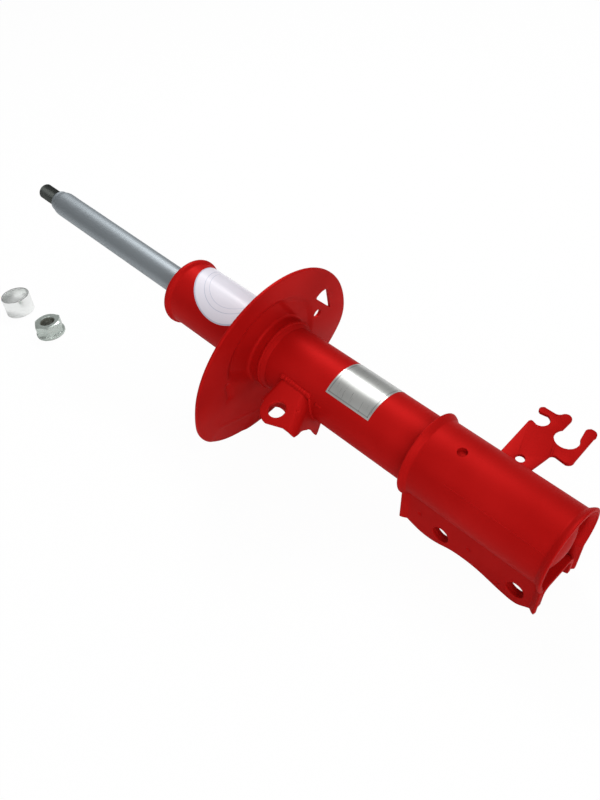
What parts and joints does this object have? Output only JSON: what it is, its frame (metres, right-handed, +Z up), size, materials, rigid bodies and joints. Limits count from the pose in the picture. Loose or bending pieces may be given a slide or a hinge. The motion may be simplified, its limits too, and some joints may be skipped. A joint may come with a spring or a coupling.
{
  "type": "suspension strut",
  "caption": "Oil-filled telescopic suspension strut with a sliding rod, round spring seat, link bracket, clevis-type knuckle bracket, hose bracket, loose top nut and spacer ring.",
  "frame": {"origin": "on the floor under the middle of the bounding box, with the strut lying on its spring seat and both knuckle flanges", "axes": "+Z up from the floor, +X along the strut towards the knuckle end as seen from above, +Y along the knuckle bolts towards the hose bracket"},
  "size_m": [0.6234, 0.1756, 0.1538],
  "materials": {
    "red_paint": "glossy red powder coat",
    "ground_steel": "ground and hard-chromed rod, satin",
    "plain_steel": "machined steel, oiled",
    "zinc": "bright zinc plate",
    "sintered": "sintered iron, dull",
    "bronze": "lined bronze",
    "black_rubber": "nitrile rubber",
    "bumper": "cast elastomer",
    "silver_film": "brushed metallised label film",
    "white_film": "gloss white label film",
    "band": "filled fluoropolymer"
  },
  "bodies": {
    "strut_body": {"strut_tube": "red_paint", "base_cap": "red_paint", "rod_wiper": "black_rubber", "oil_seal": "black_rubber", "rod_guide": "sintered", "guide_o_ring": "black_rubber", "guide_bush": "bronze", "inner_cylinder": "plain_steel", "base_valve_body": "sintered", "base_valve_plate": "plain_steel", "base_valve_bolt": "plain_steel", "spring_seat": "red_paint", "seat_support_ring": "red_paint", "link_bracket": "red_paint", "knuckle_outer_bracket": "red_paint", "knuckle_inner_bracket": "red_paint", "hose_bracket": "red_paint"},
    "piston_band": {"piston_band": "band"},
    "rod": {"piston_rod": "ground_steel", "rebound_bumper": "bumper", "rebound_stop_ring": "plain_steel", "piston": "sintered", "compression_shims": "plain_steel", "rebound_shims": "plain_steel", "piston_nut": "plain_steel"},
    "nut": {"top_nut": "zinc"},
    "ring": {"spacer_ring": "zinc"}
  },
  "joints": [
    {"name": "rod_slide", "type": "slide", "parent": "strut_body", "child": "piston_band", "axis": [0.9906, 0, -0.1369], "range_m": [0, 0.165], "stiffness_N_per_m": 200, "springref_m": -0.5},
    {"name": "rod_spin", "type": "hinge", "parent": "piston_band", "child": "rod", "pos_m": [0.03839, -0.00529, 0.08828], "axis": [0.9906, 0, -0.1369], "continuous": true},
    {"name": "nut_lift", "type": "slide", "parent": "strut_body", "child": "nut", "axis": [0, 0, 1], "range_m": [0, 0.17]},
    {"name": "ring_lift", "type": "slide", "parent": "strut_body", "child": "ring", "axis": [0, 0, 1], "range_m": [0, 0.17]}
  ]
}
